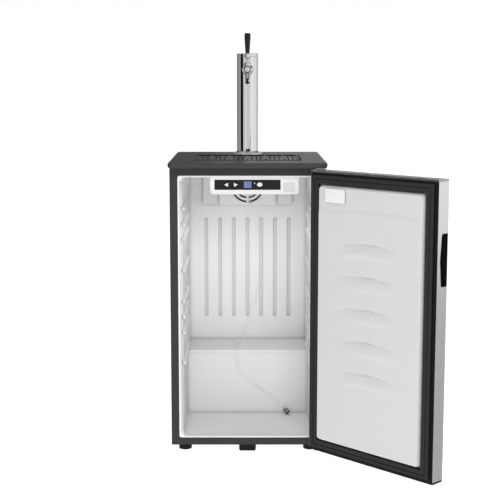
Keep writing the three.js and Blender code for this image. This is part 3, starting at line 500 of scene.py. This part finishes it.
line_curve = bpy.data.curves.new("beer_hose", "CURVE")
line_curve.dimensions = "3D"
line_spline = line_curve.splines.new("POLY")
line_spline.points.add(len(line_points) - 1)
for point, at in zip(line_spline.points, line_points):
    point.co = (*at, 1)
line_curve.bevel_depth = LINE_RADIUS * MM
line_curve.bevel_resolution = 5
line_curve.use_fill_caps = True
line_curve.materials.append(LOOKS["vinyl"])
beer_hose = bpy.data.objects.new("beer_hose", line_curve)
bpy.context.scene.collection.objects.link(beer_hose)
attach(beer_hose, "cabinet")
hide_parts("beer_line")
beer_hose.visible_shadow = False

shape = bmesh.new()
end = place(*LINE_ROUTE[-1])
turn_into(shape, [[0, 0.5], [4.2, 0.5], [4.2, 6], [5.9, 6], [5.9, 9.2], [0, 9.2]],
          end, LINE_END_DIRECTION, 48, 0.4)
turn_into(shape, [[3.4, 9.2], [7.9, 9.2], [7.9, 19.4], [6.4, 19.4], [5, 18], [5, 12], [3.4, 12], [3.4, 9.2]],
          end, LINE_END_DIRECTION, 6, 0)
turn_into(shape, [[0, 10], [3.3, 10], [3.3, 17.5], [2.2, 18.6], [0, 18.6]], end, LINE_END_DIRECTION, 40, 0.4)
fitting = finish_piece("line_fitting", "cabinet", "zinc_steel", to_mesh("line_fitting", shape),
                       "line_connector")

# Two rings on the fitting take the dark metal look: painted dark reflection on their plated faces.
shape = bmesh.new()
for low, high in ((9.0, 11.2), (17.4, 19.8)):
    turn_into(shape, [[5.2, low], [8.3, low], [8.3, high], [5.2, high], [5.2, low]],
              end, LINE_END_DIRECTION, 40, 0.3)
rims = finish_piece("fitting_rims", "cabinet", "zinc_steel", to_mesh("fitting_rims", shape),
                    material=LOOKS["dark_zinc"])

# ---- tower and faucet ------------------------------------------------------------------


def under(node):
    """The middle of a node's underside."""
    low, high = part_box(node)
    return Vector(((low.x + high.x) / 2, (low.y + high.y) / 2, low.z))


def tall(node):
    """A node's height in mm."""
    low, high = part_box(node)
    return (high.z - low.z) / MM


column = tall("tower_column")
turned("column_tube", "cabinet", "chrome",
       [[31.5, 0], [33, 0], [33, column], [31.5, column], [31.5, 0]],
       under("tower_column"), "tower_column", segments=128, radius=0.25)
cap_top = under("tower_cap") + Vector((0, 0, tall("tower_cap") * MM))
turned("column_cap", "cabinet", "chrome",
       [[0, -9.5], [28, -9.5], [28, -17.8], [31.1, -17.8], [31.1, -9.5], [33, -9.5], [33, -1.4],
        [31.6, 0], [24, 0.05], [0, 0.05]],
       cap_top - Vector((0, 0, 0.00005)), "tower_cap", segments=128, radius=0.7)

shape = bmesh.new()
flange_at = under("tower_flange")
turn_into(shape, [[26, 0], [45, 0], [45, 2.6], [43.4, 4.1], [39, 4.7], [37, 6.2], [36.2, 8.0],
                  [34.6, 8.8], [26, 8.8], [26, 0]], flange_at, segments=128, radius=0.9)
for quarter in range(4):
    angle = math.pi / 4 + quarter * math.pi / 2
    screw_at = flange_at + Vector((40.8 * math.cos(angle), 40.8 * math.sin(angle), 0)) * MM
    turn_into(shape, [[0, 5.0], [1.2, 5.0], [1.25, 6.2], [2.1, 6.1], [2.9, 5.1], [2.9, 3.2], [0, 3.2]],
              screw_at, segments=24, radius=0.3)
finish_piece("column_flange", "cabinet", "chrome", to_mesh("column_flange", shape), "tower_flange")

FAUCET_Z = 1104
FAUCET_AT = place(0, 272, FAUCET_Z)
SPOUT_END = (0, 252, 1064.5)
COLLAR_AT = place(0, 312.4, FAUCET_Z)
BACKWARDS = (0, 1, 0)
NUT = {"notches": 6, "radius": 15, "middle": 304.4, "turn": 0.35}

shape = bmesh.new()
turn_into(shape, [[0, -26], [7.6, -26], [8.6, -25], [8.6, -21], [10.4, -20.4], [11, -19.4], [11, 8],
                  [9, 14], [9, 21.1], [13.5, 22.1], [13.5, 26.1], [0, 26.1]],
          FAUCET_AT, BACKWARDS, 72, 0.7)
turn_into(shape, [[0, 0], [9, 0], [9, 9.6], [9.4, 11], [6.2, 11], [6.2, 4], [0, 4]], FAUCET_AT, segments=72)
spout = [place(*p) for p in catmull([(0, 264, 1100), (0, 260, 1088), (0, 254.4, 1074), SPOUT_END])]
tube_into(shape, spout, [(7.9 - 1.1 * i / (len(spout) - 1)) * MM for i in range(len(spout))], 48)
finish_piece("faucet_barrel", "cabinet", "chrome", to_mesh("faucet_barrel", shape), "faucet_body")
turned("barrel_seal", "cabinet", "rubber",
       [[8, -21.9], [10.5, -21.9], [10.5, -19.7], [8, -19.7], [8, -21.9]],
       FAUCET_AT, axis=BACKWARDS, segments=64, radius=0.6)
turned("collar_seal", "cabinet", "rubber",
       [[16.2, 8], [17.9, 8], [17.9, 10.2], [16.2, 10.2], [16.2, 8]],
       COLLAR_AT, axis=BACKWARDS, segments=72, radius=0.6)
turned("spout_tip", "cabinet", "rubber", [[4.9, -3.4], [7.0, -3.4], [7.2, 0.6], [4.9, 0.6], [4.9, -3.4]],
       place(*SPOUT_END), axis=(0, 0.12, 1), segments=48, radius=0.4)
turned("bonnet_ring", "cabinet", "chrome",
       [[7.4, 11.3], [10, 11.3], [10, 17.6], [9.2, 19.6], [8.4, 20.8], [7.4, 20.8], [7.4, 11.3]],
       FAUCET_AT, "faucet_bonnet", segments=72, radius=0.5)
turned("shank_bar", "cabinet", "chrome",
       [[5, 0], [10.4, 0], [11, 0.8], [11, 53], [5, 53], [5, 0]], place(0, 298.4, FAUCET_Z),
       "faucet_shank", axis=BACKWARDS, segments=56, radius=0.3)
turned("shank_collar", "cabinet", "chrome",
       [[11.3, 0], [14.6, 0], [17, 2.2], [17, 14.6], [11.3, 14.6], [11.3, 0]], COLLAR_AT,
       "shank_flange", axis=BACKWARDS, segments=72, radius=0.8)

shape = bmesh.new()
turn_into(shape, [[11.3, 0], [13.6, 0], [15, 1.3], [15, 8.7], [13.6, 10], [11.3, 10], [11.3, 0]],
          place(0, 299.4, FAUCET_Z), BACKWARDS, 72, 0.4)
for notch in range(NUT["notches"]):
    angle = notch * math.pi / (NUT["notches"] / 2) + NUT["turn"]
    at = place(NUT["radius"] * math.cos(angle), NUT["middle"],
               FAUCET_Z + NUT["radius"] * math.sin(angle))
    turn_into(shape, [[0, -4.2], [1.5, -4.2], [1.5, 4.2], [0, 4.2]], at, BACKWARDS, 16, 0.3)
finish_piece("coupling_ring", "cabinet", "chrome", to_mesh("coupling_ring", shape), "coupling_nut")

turned("lever_stem", "tap_lever", "chrome",
       [[0, -2], [1.7, -2], [2.1, -1.5], [2.1, 9], [4, 10.4], [5.3, 12.4], [5.4, 14], [5.3, 15.6], [3.6, 19],
        [3.4, 27], [3.6, 30], [6.5, 31], [8.4, 37], [9.5, 44], [9.5, 47], [7, 48.5], [0, 48.5]],
       FAUCET_AT, "faucet_lever", segments=56, radius=0.8)
turned("handle_grip", "tap_lever", "gloss_black",
       [[0, 0], [5.6, 0], [6.2, 0.7], [6.6, 4], [9.3, 45.6], [8.9, 46.6], [8.9, 47.8], [9.5, 48.8],
        [9.5, 55], [8.8, 58.4], [6.6, 60.3], [0, 60.5]],
       under("tap_handle"), "tap_handle", segments=64, radius=0.6)

# ---- fan and feet ----------------------------------------------------------------------

FAN_Z = 736
FAN_AT = place(0, 371, FAN_Z)
FAN_RINGS = ((0, 20.2), (24.8, 33.8), (39.2, 47.2), (52.6, 53.7))
FAN_SPOKES = (((-4, 371.4, 684), (4, 374, 788)), ((-52, 371.4, 732), (52, 374, 740)))
shape = bmesh.new()
for inner, outer in FAN_RINGS:
    profile = [[inner, 0.3], [outer, 0.3], [outer, 3.2], [inner, 3.2]]
    turn_into(shape, profile if inner == 0 else [*profile, profile[0]], FAN_AT, BACKWARDS, 96, 0.9)
for low, high in FAN_SPOKES:
    box_into(shape, place(*low), place(*high))
finish_piece("fan_guard", "cabinet", "liner_plastic", to_mesh("fan_guard", shape), "fan_grille")
turned("fan_shroud", "cabinet", "black_plastic",
       [[13, 0], [53, 0], [53, 1.4], [13, 1.4], [13, 0]], place(0, 375, FAN_Z), axis=BACKWARDS, segments=72)

for corner in ("front_left", "front_right", "rear_left", "rear_right"):
    node = corner + "_foot"
    turned(corner + "_pad", corner + "_leveller", "black_plastic",
           [[0, 0], [18, 0], [19.2, 1.6], [19.2, 14], [18.4, 15.6], [16.2, 18.1], [7.4, 18.1], [7, 18.1],
            [4, 20.1], [4, 34], [3.4, 34.5], [0, 34.5]], under(node), node, segments=64, radius=0.8)

# ---- rail noses ------------------------------------------------------------------------

RAIL_HEIGHTS = (246, *(336 + 46 * step for step in (0, 1, 2, 4, 6, 7, 8)))
NOSE_SHAPE = ((14.2, 1), (11.5, 0.9), (8.5, 0.62), (5.5, 0.28), (3.5, 0.05))
LINER_HALF = 189
RAIL_PROUD = 8

shape = bmesh.new()
for side in (-1, 1):
    for z in RAIL_HEIGHTS:
        rings = []
        for y, share in NOSE_SHAPE:
            wall, tip = side * (LINER_HALF + 0.2), side * (LINER_HALF - RAIL_PROUD * share)
            rings.append([place(wall, y, z + 2 - 6 * share), place(wall, y, z + 2 + 6 * share),
                          place(tip, y, z + 2 + share), place(tip, y, z + 2 - 5.8 * share)])
        ring_mesh(shape, rings)
finish_piece("rail_noses", "cabinet", "liner_plastic", to_mesh("rail_noses", shape))

# ---- door ------------------------------------------------------------------------------

swing = next(joint for joint in frame["joints"] if joint["name"] == "door_swing")
HINGE = Vector(swing["pos_m"])
OPEN = (Matrix.Translation(HINGE) @ Matrix.Rotation(math.radians(-swing["range_deg"][0]), 4, "Z")
        @ Matrix.Translation(-HINGE))
DOOR = {"left": -224, "right": 225, "bottom": 2.1, "top": 820.7, "inner": -9}


def on_door(x, y, z):
    """A point of the closed door, moved to where the open door has it."""
    return OPEN @ place(x, y, z)


GASKET_PROFILE = [
    (12, -5), (12.2, -2.4), (13, -1.2), (14.4, -0.8), (19.6, -0.8), (20.8, -1.4), (21.6, -3.4),
    (23.4, -3.4), (24.2, -1.4), (25.4, -0.8), (33.6, -0.8), (35.2, -1.2), (36, -2.4), (36, -5),
    (33, -5.6), (33, -8.7), (15, -8.7), (15, -5.6),
]
shape = bmesh.new()
ring_mesh(shape, [[on_door(x, y, z) for x, z in (
    (DOOR["left"] + d, DOOR["bottom"] + d), (DOOR["right"] - d, DOOR["bottom"] + d),
    (DOOR["right"] - d, DOOR["top"] - d), (DOOR["left"] + d, DOOR["top"] - d))]
    for d, y in GASKET_PROFILE], close_along=True)
finish_piece("door_seal", "door", "gasket_rubber", to_mesh("door_seal", shape), "door_gasket")

PANEL_EDGE = 36.7
PANEL_RISE = 19.0
DRAFT = 9.0
PANEL_CORNER = 16
DENSE_RIM = 13
CREASE = {"height": 716, "sag": 8, "half": 190, "depth": 1.7, "softness": 1.8}
CRESCENT = {"half": 96, "margin": 6, "arch": 8, "lowest": 258, "pitch": 91, "count": 5, "middle": 0.5}
SCOOP = {"depth": 3.6, "length": 10, "lip": 1.2}
SWELL = {"height": 2.7, "length": 36}


def crescent_height(x, z):
    """A scoop with a sharp arched top edge that swells out below it and fades."""
    off = (x - CRESCENT["middle"]) / (CRESCENT["half"] + CRESCENT["margin"])
    if abs(off) >= 1:
        return 0.0
    fade = (1 - off * off) ** 0.7
    for i in range(CRESCENT["count"]):
        top = CRESCENT["lowest"] + i * CRESCENT["pitch"] + CRESCENT["arch"] * (1 - off * off)
        below = top - z
        past = below - SCOOP["length"]
        if 0 <= below < SCOOP["length"]:
            return -SCOOP["depth"] * fade * (1 - below / SCOOP["length"]) * min(1, below / SCOOP["lip"])
        if 0 <= past < SWELL["length"]:
            return SWELL["height"] * fade * math.sin(math.pi * past / SWELL["length"]) ** 1.4
    return 0.0


def panel_height(x, z):
    """How far the door liner stands out from its foot, in mm."""
    left, right = DOOR["left"] + PANEL_EDGE, DOOR["right"] - PANEL_EDGE
    bottom, top = DOOR["bottom"] + PANEL_EDGE, DOOR["top"] - PANEL_EDGE
    across, along = min(x - left, right - x), min(z - bottom, top - z)
    inside = min(across, along)
    if across < PANEL_CORNER and along < PANEL_CORNER:
        inside = PANEL_CORNER - math.hypot(PANEL_CORNER - across, PANEL_CORNER - along)
    share = min(1, max(0, inside) / DRAFT)
    rise = PANEL_RISE * math.sin(share * math.pi / 2) ** 1.1
    above = z - CREASE["height"] + CREASE["sag"] * (x / CREASE["half"]) ** 2
    crease = CREASE["depth"] / (1 + math.exp(above / CREASE["softness"])) - CREASE["depth"]
    return rise + share * (crescent_height(x, z) + crease)


def grid_lines(start, end, step):
    """Grid positions, a millimetre apart along both rims and about a step apart between."""
    near = [float(i) for i in range(DENSE_RIM)]
    count = round((end - start - 2 * DENSE_RIM) / step)
    inner = [start + DENSE_RIM + (end - start - 2 * DENSE_RIM) * i / count for i in range(count + 1)]
    return [start + v for v in near] + inner + [end - v for v in reversed(near)]


def relief_sheet(shape, xs, zs, height, foot, thick, where):
    """A formed sheet: its face follows height(x, z) from the foot plane, and its back is parallel."""
    faces = [[shape.verts.new(where(x, foot + height(x, z), z)) for x in xs] for z in zs]
    backs = [[shape.verts.new(where(x, foot + height(x, z) - thick, z)) for x in xs] for z in zs]
    for i in range(len(zs) - 1):
        for k in range(len(xs) - 1):
            for sheet in (faces, backs):
                shape.faces.new([sheet[i][k], sheet[i][k + 1], sheet[i + 1][k + 1], sheet[i + 1][k]])
    rim = ([(0, k) for k in range(len(xs))] + [(i, len(xs) - 1) for i in range(1, len(zs))]
           + [(len(zs) - 1, k) for k in range(len(xs) - 2, -1, -1)]
           + [(i, 0) for i in range(len(zs) - 2, 0, -1)])
    for (a, b), (c, d) in zip(rim, rim[1:] + rim[:1]):
        shape.faces.new([faces[a][b], backs[a][b], backs[c][d], faces[c][d]])


shape = bmesh.new()
relief_sheet(shape,
             grid_lines(DOOR["left"] + PANEL_EDGE, DOOR["right"] - PANEL_EDGE, 4.0),
             grid_lines(DOOR["bottom"] + PANEL_EDGE, DOOR["top"] - PANEL_EDGE, 2.6),
             panel_height, DOOR["inner"] - 4, 1.8, on_door)
# The door panel takes door_white, the darker copy of the liner plastic, as painted shade.
finish_piece("door_panel", "door", "liner_plastic", to_mesh("door_panel", shape), "door_liner",
             material=LOOKS["door_white"])

# ---- refrigeration at the back ---------------------------------------------------------

COIL = {"y": 447.3, "low": 250, "pitch": 52, "bend": 26, "runs": 10, "reach": 185, "radius": 2.4}
BEND_STEPS = 12
WIRES = {"count": 30, "reach": 172, "low": 238, "length": 492, "radius": 0.75, "off": 3.1}
coil_path = []
for run in range(COIL["runs"]):
    z = COIL["low"] + run * COIL["pitch"]
    side = 1 if run % 2 == 0 else -1
    coil_path += [(-side * COIL["reach"], z), (side * COIL["reach"], z)]
    if run < COIL["runs"] - 1:
        for i in range(1, BEND_STEPS):
            a = math.pi * i / BEND_STEPS - math.pi / 2
            coil_path.append((side * (COIL["reach"] + COIL["bend"] * math.cos(a)),
                              z + COIL["bend"] + COIL["bend"] * math.sin(a)))


def coil_rings(points, radius, sides):
    """Rings of a bar whose path lies in one upright plane."""
    rings = []
    for i, (x, z) in enumerate(points):
        before, after = points[max(i - 1, 0)], points[min(i + 1, len(points) - 1)]
        dx, dz = after[0] - before[0], after[1] - before[1]
        reach = math.hypot(dx, dz)
        nx, nz = -dz / reach, dx / reach
        rings.append([place(x + radius * math.cos(t) * nx, COIL["y"] + radius * math.sin(t),
                            z + radius * math.cos(t) * nz)
                      for t in (2 * math.pi * k / sides for k in range(sides))])
    return rings


shape = bmesh.new()
ring_mesh(shape, coil_rings(coil_path, COIL["radius"], 14))
wire = [[0, 0], [WIRES["radius"], 0], [WIRES["radius"], WIRES["length"]], [0, WIRES["length"]]]
for number in range(WIRES["count"]):
    x = -WIRES["reach"] + 2 * WIRES["reach"] * number / (WIRES["count"] - 1)
    for y in (COIL["y"] - WIRES["off"], COIL["y"] + WIRES["off"]):
        turn_into(shape, wire, place(x, y, WIRES["low"]), segments=6, radius=0)
for side in (-1, 1):
    for z in (302, 666):
        box_into(shape, place(min(side * 176, side * 221), 448.8, z - 6),
                 place(max(side * 176, side * 221), 450.8, z + 6))
        box_into(shape, place(side * 218 - 3, 442.3, z - 6), place(side * 218 + 3, 449.2, z + 6))
finish_piece("condenser_coil", "cabinet", "compressor_black", to_mesh("condenser_coil", shape), "condenser")

shape = bmesh.new()
pot = place(-90, 360, 0)
turn_into(shape, [[0, 20], [50, 20], [57, 24], [60, 32], [60, 88], [62.5, 90], [62.5, 95], [60, 97],
                  [59, 128], [52, 144], [38, 156], [20, 162], [0, 163]], pot, segments=96, radius=5)
filling_stub = pot + Vector((0.02, 0, -0.006))
turn_into(shape, [[0, 160], [5, 160], [5, 166], [3, 167], [0, 167]], filling_stub, segments=24)
box_into(shape, place(-38, 338, 50), place(6, 382, 84))
finish_piece("compressor_pot", "cabinet", "compressor_black", to_mesh("compressor_pot", shape), "compressor")

# ---- studio ----------------------------------------------------------------------------


def stage_sheet(name, corners, faces, color, glow):
    """A plain sheet of the studio, which may glow."""
    mesh = bpy.data.meshes.new(name)
    mesh.from_pydata(corners, [], faces)
    sheet = bpy.data.objects.new(name, mesh)
    bpy.context.scene.collection.objects.link(sheet)
    mesh.materials.append(Look(name, color, 0.9, Specular_IOR_Level=0.0,
                               Emission_Color=(1, 1, 1, 1), Emission_Strength=glow).material)
    return sheet


FLOOR_GLOW = 0.86
floor = stage_sheet("floor", [(-9, -7, 0), (9, -7, 0), (9, 11, 0), (-9, 11, 0)], [(0, 1, 2, 3)],
                    (0.9, 0.9, 0.9), FLOOR_GLOW)
floor.visible_glossy = False

CARD_DISTANCE = 2.4
CARD_LOW, CARD_HIGH, CARD_TOP = 0.35, 1.75, 2.5
TOWER_Y = 0.33


def reflector(name, start, end, glow, low, high):
    """An upright card round the tower, seen only in reflections; angles run from -Y towards +X."""
    steps = 8 if end - start < 180 else 48
    corners = []
    for i in range(steps + 1):
        a = math.radians(start + (end - start) * i / steps)
        x, y = CARD_DISTANCE * math.sin(a), TOWER_Y - CARD_DISTANCE * math.cos(a)
        corners += [(x, y, low), (x, y, high)]
    faces = [(2 * i, 2 * i + 2, 2 * i + 3, 2 * i + 1) for i in range(steps)]
    card = stage_sheet(name, corners, faces, (0, 0, 0), glow)
    card.visible_camera = card.visible_diffuse = card.visible_shadow = False
    card.visible_transmission = card.visible_volume_scatter = False


for name, start, end, glow in (
        ("card_left_back", -176, -118, 0.20), ("card_left_edge", -118, -79, 0.34),
        ("card_black", -79, -48, 0.0), ("card_left_front", -48, -30, 0.62),
        ("card_front_left", -30, -4, 0.80), ("card_front_right", -4, 18, 0.66),
        ("card_right_front", 18, 44, 0.82), ("card_right_bright", 44, 62, 1.0),
        ("card_right", 62, 120, 0.86), ("card_right_edge", 120, 146, 0.40),
        ("card_right_back", 146, 178, 0.66)):
    reflector(name, start, end, glow, CARD_LOW, CARD_HIGH)
reflector("card_upper", -180, 180, 0.03, CARD_HIGH, CARD_TOP)

# The background is white to the camera, and a softer white as light.
AMBIENT, BACKDROP = 0.42, 1.0
world = bpy.data.worlds.new("studio")
bpy.context.scene.world = world
world.use_nodes = True
sky = world.node_tree
ambient = sky.nodes["Background"]
ambient.inputs["Color"].default_value = (1, 1, 1, 1)
ambient.inputs["Strength"].default_value = AMBIENT
backdrop = sky.nodes.new("ShaderNodeBackground")
backdrop.inputs["Color"].default_value = (1, 1, 1, 1)
backdrop.inputs["Strength"].default_value = BACKDROP
rays = sky.nodes.new("ShaderNodeLightPath")
choose = sky.nodes.new("ShaderNodeMixShader")
sky.links.new(rays.outputs["Is Camera Ray"], choose.inputs["Fac"])
sky.links.new(ambient.outputs["Background"], choose.inputs[1])
sky.links.new(backdrop.outputs["Background"], choose.inputs[2])
sky.links.new(choose.outputs["Shader"], sky.nodes["World Output"].inputs["Surface"])


def softbox(name, location, target, size, power):
    """A rectangular light, size in metres and power in watts, aimed at the target."""
    data = bpy.data.lights.new(name, "AREA")
    data.shape = "RECTANGLE"
    data.size, data.size_y = size
    data.energy = power
    light = bpy.data.objects.new(name, data)
    light.location = location
    light.rotation_euler = (Vector(target) - Vector(location)).to_track_quat("-Z", "Y").to_euler()
    bpy.context.scene.collection.objects.link(light)
    return light


for light in (
        softbox("front_light", (0.45, -3.3, 2.35), (0, 0.2, 0.42), (1.7, 1.1), 35.5),
        softbox("low_light", (0.2, -3.7, 0.75), (0, 0.3, 0.45), (1.6, 0.8), 6),
        softbox("cavity_light", place(0, 150, 690), place(0, 160, 0), (0.28, 0.22), 0.33),
        softbox("top_light", (-0.3, -0.8, 3.2), (0, 0.1, 0.6), (1.6, 1.2), 9)):
    light.visible_glossy = light.visible_camera = False
# Left out of reflections, because the photo's column shows none of them.
for name in ("worktop", "drip_tray", "drip_grate", "cabinet_shell", "insulation_foam", "inner_liner"):
    frame["nodes"][name].visible_glossy = False
